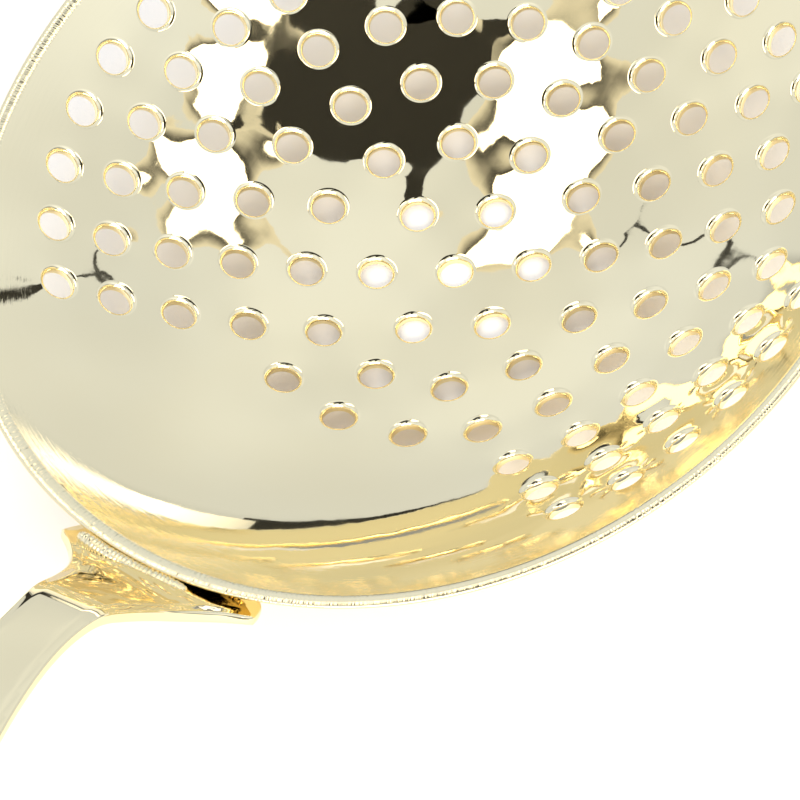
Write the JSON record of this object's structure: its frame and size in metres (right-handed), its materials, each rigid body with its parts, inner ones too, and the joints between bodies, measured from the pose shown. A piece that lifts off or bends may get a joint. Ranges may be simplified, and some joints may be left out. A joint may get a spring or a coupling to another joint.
{
  "type": "julep cocktail strainer",
  "caption": "Julep-style bar strainer: an oval dished bowl of pierced sheet metal with a bent strap handle welded under the rim.",
  "frame": {"origin": "centre of the bowl's rim plane", "axes": "+X out along the handle, +Z out of the bowl's mouth, +Y across the bowl"},
  "size_m": [0.169, 0.077, 0.0398],
  "materials": {
    "bowl_plate": "mirror polished pale gold plate",
    "handle_plate": "mirror polished pale gold plate",
    "weld": "plated weld bead, rippled"
  },
  "bodies": {
    "root": {"bowl": "bowl_plate", "handle": "handle_plate", "top_weld": "weld", "under_weld": "weld"}
  },
  "joints": []
}
